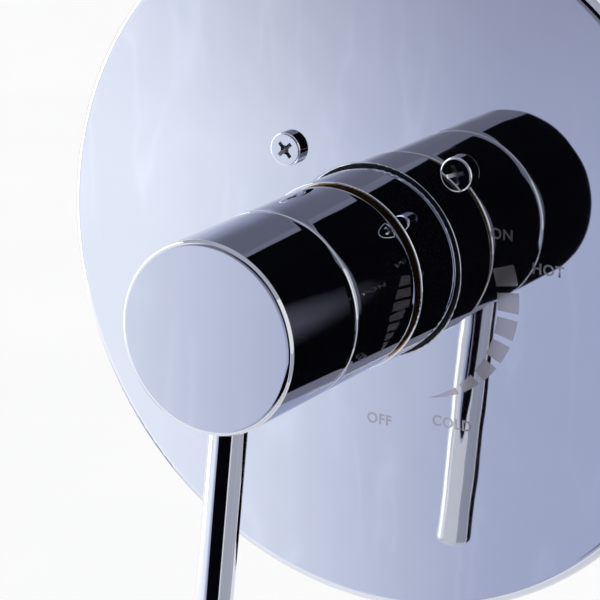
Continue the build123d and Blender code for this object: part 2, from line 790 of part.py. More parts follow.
FIXED_PIECES = {
    "escutcheon_plate": make_plate(),
    "plate_gasket": make_plate_gasket(),
    "plate_screws": make_plate_screws(),
    "trim_collar": make_collar(),
    "collar_gasket": make_collar_gasket(),
    "collar_o_ring": make_collar_ring(),
    "bonnet_nut": make_bonnet(),
    "limit_ring": make_limit_ring(),
    "thrust_washer": make_thrust_washer(),
    "fixed_disc": make_fixed_disc(),
    "disc_seal": make_disc_seal(),
    "cartridge_shell": make_shell(),
    "cartridge_o_ring": make_cartridge_ring(),
    "balance_housing": make_housing(),
    "balance_sleeve": make_sleeve(),
    "sleeve_o_rings": make_sleeve_rings(),
    "sleeve_plugs": make_sleeve_plugs(),
    "balance_spool": make_spool(),
    "port_seals": make_port_seals(),
    "valve_body": make_body(),
}

# The turning pieces share the lever's lean past plumb at the off stop.
HANDLE_PIECES = {
    "handle_skirt": make_skirt(),
    "handle_head": make_head(),
    "lever_rod": make_lever(),
    "handle_screw": make_handle_screw(),
    "handle_washer": make_handle_washer(),
    "stem": make_stem(),
    "stem_o_ring": make_stem_ring(),
    "stop_collar": make_stop_collar(),
    "moving_disc": make_moving_disc(),
}

os.makedirs("parts", exist_ok=True)
for name, piece in FIXED_PIECES.items():
    export_step(piece, f"parts/{name}.step")
for name, piece in HANDLE_PIECES.items():
    export_step(Rot(Y=LEVER_LEAN) * piece, f"parts/{name}.step")
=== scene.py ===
import bmesh
import bpy
import math
from mathutils import Matrix, Vector


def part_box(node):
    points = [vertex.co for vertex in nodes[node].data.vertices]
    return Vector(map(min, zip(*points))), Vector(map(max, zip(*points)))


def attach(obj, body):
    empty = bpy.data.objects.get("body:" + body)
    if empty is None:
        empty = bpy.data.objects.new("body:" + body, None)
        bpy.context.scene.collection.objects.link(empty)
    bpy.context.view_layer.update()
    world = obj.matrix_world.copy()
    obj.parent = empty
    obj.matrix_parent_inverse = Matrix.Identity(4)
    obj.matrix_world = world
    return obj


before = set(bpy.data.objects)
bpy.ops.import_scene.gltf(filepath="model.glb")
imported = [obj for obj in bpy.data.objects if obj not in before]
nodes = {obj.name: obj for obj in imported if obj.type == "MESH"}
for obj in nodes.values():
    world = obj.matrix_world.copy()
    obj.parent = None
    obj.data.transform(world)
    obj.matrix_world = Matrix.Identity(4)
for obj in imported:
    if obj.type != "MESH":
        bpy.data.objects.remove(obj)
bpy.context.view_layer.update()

# Valve body: one brass casting with two inlets, two outlets, screw lugs and brace ears.
# Sand cast with a rough skin, then machined bright at the hexes and the threaded ports that end its arms.
HEX_START = 0.040
HEX_EDGE = 0.0003
THREAD_START = 0.0485
THREAD_RUNOUT = 0.0005
THREAD_PITCH = 0.0018
THREAD_DEPTH = 0.0009
CAST_DARK = (0.42, 0.28, 0.12)
CAST_LIGHT = (0.72, 0.53, 0.25)
CAST_ROUGHNESS = (0.2, 0.62)
CAST_GRAIN = 1100
CAST_DEPTH = 0.00025
CLOUD_WAVES = 120
CLOUD_SHARE = 0.7
BRIGHT_SHARE = 0.4
TONE_START = 0.3
TONE_END = 0.7


def start_finish(name, metallic=0.0):
    """New material with a principled shader, returned with its node tree and shader."""
    material = bpy.data.materials.new(name)
    material.use_nodes = True
    tree = material.node_tree
    shader = tree.nodes["Principled BSDF"]
    shader.inputs["Metallic"].default_value = metallic
    return material, tree, shader


def noise(tree, waves, detail=3.0, stretch=(1.0, 1.0, 1.0)):
    """Noise over the piece, from 0 to 1, with so many waves per metre."""
    place = tree.nodes.new("ShaderNodeTexCoord")
    mapping = tree.nodes.new("ShaderNodeMapping")
    texture = tree.nodes.new("ShaderNodeTexNoise")
    mapping.inputs["Scale"].default_value = stretch
    texture.inputs["Scale"].default_value = waves
    texture.inputs["Detail"].default_value = detail
    tree.links.new(place.outputs["Object"], mapping.inputs["Vector"])
    tree.links.new(mapping.outputs["Vector"], texture.inputs["Vector"])
    return texture.outputs["Fac"]


def between(tree, pattern, low, high):
    """A pattern from 0 to 1, scaled to lie between two numbers."""
    spread = tree.nodes.new("ShaderNodeMapRange")
    spread.inputs["To Min"].default_value = low
    spread.inputs["To Max"].default_value = high
    tree.links.new(pattern, spread.inputs["Value"])
    return spread.outputs["Result"]


def ramp_up(tree, value, start, end):
    """0 below the start, 1 beyond the end, even between them."""
    spread = tree.nodes.new("ShaderNodeMapRange")
    spread.inputs["From Min"].default_value = start
    spread.inputs["From Max"].default_value = end
    tree.links.new(value, spread.inputs["Value"])
    return spread.outputs["Result"]


def tones(tree, pattern, dark, light):
    """A pattern turned into colours between two tones."""
    ramp = tree.nodes.new("ShaderNodeValToRGB")
    steps = ((TONE_START, dark), (TONE_END, light))
    for element, (position, colour) in zip(ramp.color_ramp.elements, steps):
        element.position = position
        element.color = (*colour, 1)
    tree.links.new(pattern, ramp.inputs["Fac"])
    return ramp.outputs["Color"]


def set_finish(tree, shader, colour, roughness):
    """Gives a shader its colour and its roughness."""
    tree.links.new(colour, shader.inputs["Base Color"])
    tree.links.new(roughness, shader.inputs["Roughness"])


def bumps(tree, shader, pattern, depth):
    """A pattern felt as height, in metres from lowest to highest, on top of earlier bumps."""
    bump = tree.nodes.new("ShaderNodeBump")
    bump.inputs["Strength"].default_value = 1.0
    bump.inputs["Distance"].default_value = depth
    if shader.inputs["Normal"].links:
        tree.links.new(shader.inputs["Normal"].links[0].from_socket, bump.inputs["Normal"])
    tree.links.new(pattern, bump.inputs["Height"])
    tree.links.new(bump.outputs["Normal"], shader.inputs["Normal"])


def reckon(tree, operation, first, second=None):
    """One sum on patterns or numbers."""
    sum_node = tree.nodes.new("ShaderNodeMath")
    sum_node.operation = operation
    for socket, value in zip(sum_node.inputs, (first, second)):
        if isinstance(value, (int, float)):
            socket.default_value = value
        elif value is not None:
            tree.links.new(value, socket)
    return sum_node.outputs["Value"]


def rest_of(tree, share):
    """What a share leaves of 1."""
    return reckon(tree, "SUBTRACT", 1.0, share)


def places(tree):
    """Places across, into the wall and up, in metres."""
    place = tree.nodes.new("ShaderNodeTexCoord")
    split = tree.nodes.new("ShaderNodeSeparateXYZ")
    tree.links.new(place.outputs["Object"], split.inputs["Vector"])
    return split.outputs["X"], split.outputs["Y"], split.outputs["Z"]


def dress(finish, *names):
    """Gives CAD pieces a finish."""
    for name in names:
        nodes[name].data.materials[0] = finish


def body_brass():
    """Cast skin on the body, bright where its arms end in hexes, and ridged at the threaded ports."""
    material, tree, shader = start_finish("cast_brass", metallic=1.0)
    across, _, up = places(tree)
    out = reckon(tree, "MAXIMUM", reckon(tree, "ABSOLUTE", across), reckon(tree, "ABSOLUTE", up))
    bright = ramp_up(tree, out, HEX_START - HEX_EDGE, HEX_START)
    cast = reckon(tree, "MULTIPLY", noise(tree, CAST_GRAIN, detail=5), rest_of(tree, bright))
    clouds = reckon(tree, "MULTIPLY", noise(tree, CLOUD_WAVES, detail=4), CLOUD_SHARE)
    tone = reckon(tree, "ADD", clouds, reckon(tree, "MULTIPLY", bright, BRIGHT_SHARE))
    set_finish(tree, shader, tones(tree, tone, CAST_DARK, CAST_LIGHT), between(tree, cast, *CAST_ROUGHNESS))
    bumps(tree, shader, cast, CAST_DEPTH)
    ridges = reckon(tree, "DIVIDE", reckon(tree, "PINGPONG", out, THREAD_PITCH / 2), THREAD_PITCH / 2)
    threaded = ramp_up(tree, out, THREAD_START, THREAD_START + THREAD_RUNOUT)
    bumps(tree, shader, reckon(tree, "MULTIPLY", ridges, threaded), THREAD_DEPTH)
    return material


dress(body_brass(), "valve_body")

# Seals: rings between the body, the cartridge, its sleeve, the stem and the trim.
# Moulded from black rubber and squeezed between the pieces that they seal.
MOTTLE_WAVES = 300
SKIN_GRAIN = 5000
SKIN_DEPTH = 0.00001
SKIN_SPREAD = 0.06
RUBBER_DARK = (0.012, 0.012, 0.013)
RUBBER_LIGHT = (0.022, 0.022, 0.023)
RUBBER_ROUGHNESS = 0.55


def moulded(name, dark, light, rough):
    """Moulded or lapped piece with a faint mottle and a fine skin."""
    material, tree, shader = start_finish(name)
    skin = noise(tree, SKIN_GRAIN, detail=2)
    mottle = tones(tree, noise(tree, MOTTLE_WAVES), dark, light)
    set_finish(tree, shader, mottle, between(tree, skin, rough - SKIN_SPREAD, rough + SKIN_SPREAD))
    bumps(tree, shader, skin, SKIN_DEPTH)
    return material


dress(moulded("black_rubber", RUBBER_DARK, RUBBER_LIGHT, RUBBER_ROUGHNESS),
      "port_seals", "cartridge_o_ring", "sleeve_o_rings", "disc_seal", "stem_o_ring", "collar_o_ring",
      "collar_gasket")

# Cartridge housing: the shell, the balance housing below it and the plugs that close the sleeve.
# Moulded from ivory plastic. The bonnet nut clamps the shell and the housing into the body's chamber.
IVORY_DARK = (0.74, 0.73, 0.68)
IVORY_LIGHT = (0.80, 0.79, 0.74)
IVORY_ROUGHNESS = 0.42
dress(moulded("cartridge_plastic", IVORY_DARK, IVORY_LIGHT, IVORY_ROUGHNESS),
      "cartridge_shell", "balance_housing", "sleeve_plugs")

# Balance sleeve and spool, with the screw and washer that hold the handle on the stem.
# Turned from stainless steel. Sleeve and spool are ground to a sliding fit.
STEEL_DARK = (0.50, 0.50, 0.52)
STEEL_LIGHT = (0.62, 0.62, 0.64)
STEEL_ROUGHNESS = (0.22, 0.36)
STEEL_GRAIN = 5400


def ground_steel():
    """Stainless steel with a fine even grain."""
    material, tree, shader = start_finish("stainless", metallic=1.0)
    grain = noise(tree, STEEL_GRAIN, detail=4)
    colour = tones(tree, grain, STEEL_DARK, STEEL_LIGHT)
    set_finish(tree, shader, colour, between(tree, grain, *STEEL_ROUGHNESS))
    return material


dress(ground_steel(), "balance_sleeve", "balance_spool", "handle_screw", "handle_washer")

# Discs and slip ring: the fixed and the moving disc, which meter the water, and the washer under the stem.
# The discs are lapped ceramic, and the washer is a smooth white plastic.
CERAMIC_DARK = (0.84, 0.83, 0.80)
CERAMIC_LIGHT = (0.90, 0.89, 0.86)
CERAMIC_ROUGHNESS = 0.16
SLIP_DARK = (0.84, 0.84, 0.82)
SLIP_LIGHT = (0.90, 0.90, 0.88)
SLIP_ROUGHNESS = 0.30
dress(moulded("disc_ceramic", CERAMIC_DARK, CERAMIC_LIGHT, CERAMIC_ROUGHNESS), "fixed_disc", "moving_disc")
dress(moulded("slip_plastic", SLIP_DARK, SLIP_LIGHT, SLIP_ROUGHNESS), "thrust_washer")

# Bonnet nut and stem: turned from brass bar. The nut screws over the body and clamps the cartridge.
# The stem carries the handle on its splines.
TURNED_DARK = (0.68, 0.50, 0.24)
TURNED_LIGHT = (0.74, 0.56, 0.28)
TURNED_ROUGHNESS = (0.18, 0.30)
TURNED_GRAIN = 2600
TURNED_DEPTH = 0.00001
GRAINS_PER_TONE = 9


def turned_brass():
    """Brass with the fine grain of a turned face."""
    material, tree, shader = start_finish("turned_brass", metallic=1.0)
    grain = noise(tree, TURNED_GRAIN, detail=6)
    tone = tones(tree, noise(tree, TURNED_GRAIN / GRAINS_PER_TONE), TURNED_DARK, TURNED_LIGHT)
    set_finish(tree, shader, tone, between(tree, grain, *TURNED_ROUGHNESS))
    bumps(tree, shader, grain, TURNED_DEPTH)
    return material


dress(turned_brass(), "bonnet_nut", "stem")

# Stops: the limit ring, with its off stop and hot stop, and the key on the stem that meets them.
# Moulded from red plastic. The ring sits round the stem, and the key is pushed on the stem's splines.
STOP_DARK = (0.50, 0.05, 0.04)
STOP_LIGHT = (0.58, 0.07, 0.05)
STOP_ROUGHNESS = 0.38
dress(moulded("stop_plastic", STOP_DARK, STOP_LIGHT, STOP_ROUGHNESS), "limit_ring", "stop_collar")

# Trim plate: pressed from sheet with a turned edge, polished and chromed.
# Polishing leaves the sheet very slightly wavy, and a foam ring behind its edge seals it to the wall.
CHROME_DARK = (0.68, 0.70, 0.75)
CHROME_LIGHT = (0.70, 0.72, 0.77)
CHROME_ROUGHNESS = (0.01, 0.04)
HAZE_WAVES = 40
PLATE_WAVES = 70
PLATE_WAVE_DEPTH = 0.00003
PLATE_ROUND = 0.0026
ROUND_SHARE = 0.75
FOAM_DARK = (0.10, 0.10, 0.105)
FOAM_LIGHT = (0.16, 0.16, 0.165)
FOAM_ROUGHNESS = 0.8


def length_of(tree, first, second):
    """Length of a line from its two sides."""
    squares = [reckon(tree, "MULTIPLY", side, side) for side in (first, second)]
    return reckon(tree, "SQRT", reckon(tree, "ADD", *squares))


def mixed(tree, kind, share, first, second):
    """Blend of two colours (RGBA) or directions (VECTOR), all first at a share of 0 and all second at 1."""
    mix = tree.nodes.new("ShaderNodeMix")
    mix.data_type = kind
    tree.links.new(share, mix.inputs["Factor"])
    for socket, value in ((mix.inputs["A"], first), (mix.inputs["B"], second)):
        if isinstance(value, tuple):
            socket.default_value = (*value, 1)
        else:
            tree.links.new(value, socket)
    return mix.outputs["Result"]


def true_round(tree, shader, ring, station, size):
    """Exact normals on the outer rounding about a ring, so that the mirror shows no flats there."""
    across, along, up = places(tree)
    distance = length_of(tree, across, up)
    out = reckon(tree, "SUBTRACT", distance, ring)
    front = reckon(tree, "SUBTRACT", station, along)
    share = reckon(tree, "DIVIDE", out, distance)
    way = tree.nodes.new("ShaderNodeCombineXYZ")
    tree.links.new(reckon(tree, "MULTIPLY", across, share), way.inputs["X"])
    tree.links.new(reckon(tree, "SUBTRACT", along, station), way.inputs["Y"])
    tree.links.new(reckon(tree, "MULTIPLY", up, share), way.inputs["Z"])
    unit = tree.nodes.new("ShaderNodeVectorMath")
    unit.operation = "NORMALIZE"
    tree.links.new(way.outputs["Vector"], unit.inputs[0])
    turn = tree.nodes.new("ShaderNodeVectorTransform")
    turn.vector_type = "NORMAL"
    turn.convert_from = "OBJECT"
    turn.convert_to = "WORLD"
    tree.links.new(unit.outputs["Vector"], turn.inputs["Vector"])
    rounded = reckon(tree, "GREATER_THAN", length_of(tree, out, front), size * ROUND_SHARE)
    for side in (out, front):
        rounded = reckon(tree, "MULTIPLY", rounded, reckon(tree, "GREATER_THAN", side, 0.0))
    plain = tree.nodes.new("ShaderNodeNewGeometry").outputs["Normal"]
    normal = mixed(tree, "VECTOR", rounded, plain, turn.outputs["Vector"])
    tree.links.new(normal, shader.inputs["Normal"])


def chrome(name, waves, depth, turned=None):
    """Mirror chrome with a faint haze and the waves that polishing leaves: per metre, and metres deep.
    A turned rounding is given by its ring's radius and station, and its own radius."""
    material, tree, shader = start_finish(name, metallic=1.0)
    if turned:
        true_round(tree, shader, *turned)
    haze = noise(tree, HAZE_WAVES, detail=4)
    colour = tones(tree, haze, CHROME_DARK, CHROME_LIGHT)
    set_finish(tree, shader, colour, between(tree, haze, *CHROME_ROUGHNESS))
    bumps(tree, shader, noise(tree, waves, detail=1), depth)
    return material, tree, shader


low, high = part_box("escutcheon_plate")
plate_edge = (high.x - PLATE_ROUND, low.y + PLATE_ROUND, PLATE_ROUND)
dress(chrome("plate_chrome", PLATE_WAVES, PLATE_WAVE_DEPTH, turned=plate_edge)[0], "escutcheon_plate")
dress(moulded("gasket_foam", FOAM_DARK, FOAM_LIGHT, FOAM_ROUGHNESS), "plate_gasket")

# Plate screws: a pair of chromed pan heads with a cross slot, through the plate into the body's lugs.
# The cross slots are struck first and take little chrome, so they stay dull; their dark colour is painted
# shade.
SCREW_WAVES = 400
SCREW_WAVE_DEPTH = 0.000004
SLOT_RADIUS = 0.0025
SLOT_EDGE = 0.0001
SLOT_DULL_AND_SHADE_FADE = (0.0001, 0.0003)
# Painted shade: the dark colour given to the inside of the cross slots.
SLOT_SHADE_COLOUR = (0.28, 0.28, 0.31)
SLOT_ROUGHNESS = 0.3


def refinish(tree, shader, share, colour, roughness):
    """Gives a finish another colour where a share is 1, and makes it rougher there."""
    first, shine = (shader.inputs[name].links[0].from_socket for name in ("Base Color", "Roughness"))
    rougher = reckon(tree, "ADD", shine, reckon(tree, "MULTIPLY", share, roughness))
    set_finish(tree, shader, mixed(tree, "RGBA", share, first, colour), rougher)


def screw_chrome():
    """Chrome on the heads, dull inside the cross slots and darkened there with painted shade."""
    material, tree, shader = chrome("screw_chrome", SCREW_WAVES, SCREW_WAVE_DEPTH)
    low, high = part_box("plate_screws")
    across, along, up = places(tree)
    middle = (high.x - low.x - high.z + low.z) / 2
    sideways = reckon(tree, "SUBTRACT", reckon(tree, "ABSOLUTE", across), middle)
    upward = reckon(tree, "SUBTRACT", up, (low.z + high.z) / 2)
    beyond = ramp_up(tree, length_of(tree, sideways, upward), SLOT_RADIUS, SLOT_RADIUS + SLOT_EDGE)
    # The painted shade and the dullness fade in from just below the head's face, into the slot.
    dull_and_shade_depth = ramp_up(tree, along, *(low.y + depth for depth in SLOT_DULL_AND_SHADE_FADE))
    slot_dull_and_shade = reckon(tree, "MULTIPLY", rest_of(tree, beyond), dull_and_shade_depth)
    refinish(tree, shader, slot_dull_and_shade, SLOT_SHADE_COLOUR, SLOT_ROUGHNESS)
    return material


dress(screw_chrome(), "plate_screws")

# Marks on the plate: plain words and a seven-block crescent that grows from cold to hot.
# Etched into the chrome, so they look matt against the mirror.
PLATE_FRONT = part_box("escutcheon_plate")[0].y
MARK_DEPTH = 0.00002
CAP_HEIGHT = 0.00275
LETTER_WEIGHT = 0.022
LETTER_SPACING = 1.1
WORDS = {"OFF": (0.0019, -0.0401), "COLD": (0.0221, -0.0376), "ON": (0.0348, 0.0114), "HOT": (0.0470, 0.0045)}
BLOCKS = 7
BLOCK_STEPS = 8
BLOCK_ARC = 0.0274
INNER_CENTRE = Vector((0.0066, -0.0061))
OUTER_CENTRE = Vector((0.0123, -0.0048))
BLOCK_START = math.radians(19)
BLOCK_PITCH = math.radians(12.1)
BLOCK_SPAN = math.radians(9)
ETCHED_DARK = (0.49, 0.465, 0.475)
ETCHED_LIGHT = (0.55, 0.525, 0.535)
ETCHED_ROUGHNESS = (0.10, 0.16)
ETCHED_METAL = 0.84
SPECKLE_GRAIN = 9000


def etched_finish():
    """Etched chrome: a fine matt speckle that still lets part of the mirror through."""
    material, tree, shader = start_finish("etched_mark", metallic=ETCHED_METAL)
    speckle = noise(tree, SPECKLE_GRAIN, detail=2)
    colour = tones(tree, speckle, ETCHED_DARK, ETCHED_LIGHT)
    set_finish(tree, shader, colour, between(tree, speckle, *ETCHED_ROUGHNESS))
    return material


def word_mesh(word):
    """Letters of a word as a flat mesh in XY, scaled to the height of the capitals."""
    lettering = bpy.data.curves.new(word, "FONT")
    lettering.body = word
    lettering.offset = LETTER_WEIGHT
    lettering.space_character = LETTER_SPACING
    lettering.align_x = "CENTER"
    lettering.align_y = "CENTER"
    letters = bpy.data.objects.new(word, lettering)
    drawn = bpy.data.meshes.new_from_object(letters)
    bpy.data.objects.remove(letters)
    heights = [corner.co.y for corner in drawn.vertices]
    size = CAP_HEIGHT / (max(heights) - min(heights))
    drawn.transform(Matrix.Diagonal((size, size, size, 1)))
    return drawn


def crescent_tip():
    """Angle of the crescent's lower tip, where its two arcs meet, seen from the inner arc's centre."""
    apart = OUTER_CENTRE - INNER_CENTRE
    across_apart = Vector((apart.y, -apart.x)).normalized()
    reach = math.sqrt(BLOCK_ARC**2 - (apart.length / 2) ** 2)
    tip = apart / 2 + across_apart * reach
    return math.atan2(tip.y, tip.x)


def block_mesh(number):
    """One block of the crescent as a flat mesh in XY, between its two arcs. The last runs to the tip."""
    first = BLOCK_START - number * BLOCK_PITCH
    last = crescent_tip() if number == BLOCKS - 1 else first - BLOCK_SPAN
    apart = OUTER_CENTRE - INNER_CENTRE
    block = bmesh.new()
    bmesh.ops.create_grid(block, x_segments=BLOCK_STEPS, y_segments=1, size=1)
    for corner in block.verts:
        angle = first + (last - first) * (corner.co.x + 1) / 2
        ray = Vector((math.cos(angle), math.sin(angle)))
        along = apart.dot(ray)
        outer = along + math.sqrt(BLOCK_ARC**2 - apart.length_squared + along**2)
        spot = INNER_CENTRE + ray * (outer if corner.co.y > 0 else BLOCK_ARC)
        corner.co = Vector((spot.x, spot.y, 0))
    bmesh.ops.recalc_face_normals(block, faces=block.faces)
    drawn = bpy.data.meshes.new("block")
    block.to_mesh(drawn)
    block.free()
    return drawn


def add_mark(name, mesh, across=0.0, up=0.0):
    """Stands a flat mesh drawn in XY on the plate's face, moved across and up."""
    mesh.name = name
    face = Matrix.Translation((across, PLATE_FRONT - MARK_DEPTH, up))
    mesh.transform(face @ Matrix.Rotation(math.radians(90), 4, "X"))
    mesh.materials.append(etched)
    mark = bpy.data.objects.new(name, mesh)
    bpy.context.scene.collection.objects.link(mark)
    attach(mark, "valve")


etched = etched_finish()
for word, spot in WORDS.items():
    add_mark("mark_" + word.lower(), word_mesh(word), *spot)
for number in range(BLOCKS):
    add_mark(f"mark_block_{number + 1}", block_mesh(number))

# Collar: a short sleeve that passes through the plate and slides on the nut's neck over a rubber ring.
# Turned from brass, polished and chromed.
TURNED_WAVES = 90
TURNED_WAVE_DEPTH = 0.000003
dress(chrome("collar_chrome", TURNED_WAVES, TURNED_WAVE_DEPTH)[0], "trim_collar")

# Handle and lever: turned from brass, polished and chromed, with edges that buffing has softened.
# The head fits over the skirt's spigot, and the lever's thread locks the two together.
# The skirt's bore and rear face are left as bare brass.
HEAD_WAVES = 60
HEAD_WAVE_DEPTH = 0.000004
HEAD_ROUND = 0.0013
SKIRT_WALL = 0.003
PLATED_OVERLAP = 0.0001
BARE_BRASS = (0.60, 0.38, 0.15)
BARE_ROUGHNESS = 0.25
BROKEN_CORNER = 0.0005
BUFFED_REACH = 0.0025
BUFFED_DEPTH = 0.00015
BUFFED_CURVE = 2.0


def buffed(tree, shader, edge):
    """Softens a turned edge at a station along the handle."""
    _, along, _ = places(tree)
    away = reckon(tree, "ABSOLUTE", reckon(tree, "SUBTRACT", along, edge))
    near = rest_of(tree, ramp_up(tree, away, BROKEN_CORNER, BUFFED_REACH))
    bumps(tree, shader, rest_of(tree, reckon(tree, "POWER", near, BUFFED_CURVE)), BUFFED_DEPTH)


def bare_inside(tree, shader, radius, rear):
    """Leaves the brass bare inside a radius and on the face at the rear."""
    across, along, up = places(tree)
    outside = ramp_up(tree, length_of(tree, across, up), radius, radius + PLATED_OVERLAP)
    behind = ramp_up(tree, along, rear - 2 * PLATED_OVERLAP, rear - PLATED_OVERLAP)
    plated = reckon(tree, "MULTIPLY", outside, rest_of(tree, behind))
    refinish(tree, shader, rest_of(tree, plated), BARE_BRASS, BARE_ROUGHNESS)


low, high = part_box("handle_head")
seam = high.y
rim = (high.x - HEAD_ROUND, low.y + HEAD_ROUND, HEAD_ROUND)
head_finish, tree, shader = chrome("head_chrome", HEAD_WAVES, HEAD_WAVE_DEPTH, turned=rim)
buffed(tree, shader, seam)
dress(head_finish, "handle_head")

low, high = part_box("handle_skirt")
skirt_finish, tree, shader = chrome("skirt_chrome", TURNED_WAVES, TURNED_WAVE_DEPTH)
buffed(tree, shader, seam)
buffed(tree, shader, high.y)
bare_inside(tree, shader, high.z - SKIRT_WALL + PLATED_OVERLAP, high.y)
dress(skirt_finish, "handle_skirt")
dress(chrome("rod_chrome", TURNED_WAVES, TURNED_WAVE_DEPTH)[0], "lever_rod")

# Floor: plain and pale, at the usual distance below a shower mixer.
# A flat sheet with a matt, barely mottled finish.
FLOOR_DROP = 1.1
FLOOR_HALF = 8.0
FLOOR_DARK = (0.96, 0.96, 0.965)
FLOOR_LIGHT = (0.98, 0.98, 0.985)
FLOOR_WAVES = 3
FLOOR_ROUGHNESS = 0.6
floor_shape = bmesh.new()
bmesh.ops.create_grid(floor_shape, x_segments=2, y_segments=2, size=FLOOR_HALF)
floor_mesh = bpy.data.meshes.new("floor")
floor_shape.to_mesh(floor_mesh)
floor_shape.free()
floor_mesh.transform(Matrix.Translation((0, 0, -FLOOR_DROP)))
floor = bpy.data.objects.new("floor", floor_mesh)
bpy.context.scene.collection.objects.link(floor)
floor_finish, tree, shader = start_finish("floor")
floor_tone = tones(tree, noise(tree, FLOOR_WAVES), FLOOR_DARK, FLOOR_LIGHT)
tree.links.new(floor_tone, shader.inputs["Base Color"])
shader.inputs["Roughness"].default_value = FLOOR_ROUGHNESS
floor_mesh.materials.append(floor_finish)

# Pale cards: a large one in front on the left, and a small one before the cloth on the right.
# Creased paper, white at the left, blue at the lower right and dusky at the upper right.
# Like all the cards, they are seen only in the chrome.
CARD_PLACE = -0.75
CARD_SIDES = (-1.1, 0.25)
CARD_HEIGHTS = (-0.85, 0.85)
FRONT_PLACE = -0.735
FRONT_SIDES = (-0.285, 0.25)
FRONT_HEIGHTS = (-0.285, 0.30)
CARD_WHITE = (1.1, 1.15, 1.25)
CARD_BLUE = (0.48, 0.52, 0.72)
CARD_DUSK = (0.2, 0.2, 0.26)
CARD_LOW = [(-0.65, CARD_WHITE), (-0.55, CARD_WHITE), (-0.40, CARD_BLUE), (-0.30, CARD_BLUE)]
CARD_HIGH = [(-0.65, CARD_WHITE), (-0.57, CARD_BLUE), (-0.47, CARD_DUSK), (-0.37, CARD_DUSK)]
CARD_BLEND = (-0.20, 0.09)
CARD_STRENGTH = 1.3
CREASE_WAVES = 30
CREASE_STRETCH = (1.0, 1.0, 0.14)
CREASE_LEVEL = 0.5
CREASE_SHARPNESS = 60.0
CREASE_GAIN = 1.09
PATCH_WAVES = 11
PATCH_EDGE = (0.4, 0.6)


def stand(name, corners, finish):
    """Flat card through its corners, hidden from the camera."""
    shape = bmesh.new()
    shape.faces.new([shape.verts.new(corner) for corner in corners])
    mesh = bpy.data.meshes.new(name)
    shape.to_mesh(mesh)
    shape.free()
    mesh.materials.append(finish)
    card = bpy.data.objects.new(name, mesh)
    bpy.context.scene.collection.objects.link(card)
    card.visible_camera = False
    return card


def glow(name, strength=1.0):
    """New material that only gives light, returned with its node tree and its emission node."""
    material = bpy.data.materials.new(name)
    material.use_nodes = True
    tree = material.node_tree
    tree.nodes.clear()
    output = tree.nodes.new("ShaderNodeOutputMaterial")
    emission = tree.nodes.new("ShaderNodeEmission")
    emission.inputs["Strength"].default_value = strength
    tree.links.new(emission.outputs["Emission"], output.inputs["Surface"])
    return material, tree, emission


def shades(tree, place, steps):
    """Colours at places along one way of a card, blended smoothly between them."""
    low, high = steps[0][0], steps[-1][0]
    ramp = tree.nodes.new("ShaderNodeValToRGB")
    ramp.color_ramp.interpolation = "B_SPLINE"
    elements = ramp.color_ramp.elements
    while len(elements) < len(steps):
        elements.new(0.5)
    for element, (where, colour) in zip(elements, steps):
        element.position = (where - low) / (high - low)
        element.color = (*(part / CARD_STRENGTH for part in colour), 1)
    tree.links.new(ramp_up(tree, place, low, high), ramp.inputs["Fac"])
    return ramp.outputs["Color"]


def oblong(start, end, low, high):
    """Four corners of an oblong, from its two ends and its two heights."""
    return [(start, low), (end, low), (end, high), (start, high)]


def facing_wall(station, outline):
    """Corners of a card that faces the wall, from its outline across and up."""
    return [(across, station, up) for across, up in outline]


pale, tree, emission = glow("pale_card", CARD_STRENGTH)
across, _, up = places(tree)
low_shades, high_shades = (shades(tree, across, steps) for steps in (CARD_LOW, CARD_HIGH))
pale_tone = mixed(tree, "RGBA", ramp_up(tree, up, *CARD_BLEND), low_shades, high_shades)
tree.links.new(pale_tone, emission.inputs["Color"])
swell = reckon(tree, "SUBTRACT", noise(tree, CREASE_WAVES, detail=1, stretch=CREASE_STRETCH), CREASE_LEVEL)
creases = reckon(tree, "POWER", rest_of(tree, reckon(tree, "ABSOLUTE", swell)), CREASE_SHARPNESS)
creases = reckon(tree, "MULTIPLY", creases, ramp_up(tree, noise(tree, PATCH_WAVES), *PATCH_EDGE))
creased = between(tree, creases, CARD_STRENGTH, CARD_STRENGTH * CREASE_GAIN)
tree.links.new(creased, emission.inputs["Strength"])
stand("pale_card", facing_wall(CARD_PLACE, oblong(*CARD_SIDES, *CARD_HEIGHTS)), pale)
stand("front_card", facing_wall(FRONT_PLACE, oblong(*FRONT_SIDES, *FRONT_HEIGHTS)), pale)

# Black cloth: hangs in front on the right, and gives the chrome its dark side.
# Matt cloth with a paler fringe at the far right, and a grey hem that shows past its edge.
CLOTH_PLACE = -0.74
CLOTH_OUTLINE = [
    (-0.063, 0.614), (0.14, 0.85), (0.45, 0.85), (0.62, 0.70), (0.75, 0.48), (0.85, 0.20), (0.89, -0.10),
    (0.89, -0.95), (0.60, -0.95), (0.121, -0.607), (-0.01, -0.545), (-0.10, -0.478), (-0.23, -0.39),
    (-0.285, -0.325), (-0.285, 0.35), (-0.265, 0.375),
]
CLOTH_DARK = (0.001, 0.001, 0.002)
CLOTH_LIGHT = (0.16, 0.16, 0.20)
CLOTH_WAVES = 4
CLOTH_WEAVE = 0.008
FRINGE_ACROSS = (0.54, 0.80)
FRINGE_UP = (-0.25, 0.0)
HEM_PLACE = -0.745
HEM_OUTLINE = [
    (-0.299, 0.404), (-0.097, 0.643), (0.08, 0.85), (0.40, 0.85), (0.40, -0.93), (0.28, -0.80),
    (0.08, -0.693), (-0.058, -0.627), (-0.153, -0.557), (-0.26, -0.47), (-0.284, -0.42), (-0.284, 0.36),
]
HEM_DARK = (0.25, 0.245, 0.32)
HEM_LIGHT = (0.29, 0.285, 0.36)
HEM_WAVES = 5
black, tree, shader = start_finish("black_cloth")
across, _, up = places(tree)
fringe = reckon(tree, "MULTIPLY", ramp_up(tree, across, *FRINGE_ACROSS), ramp_up(tree, up, *FRINGE_UP))
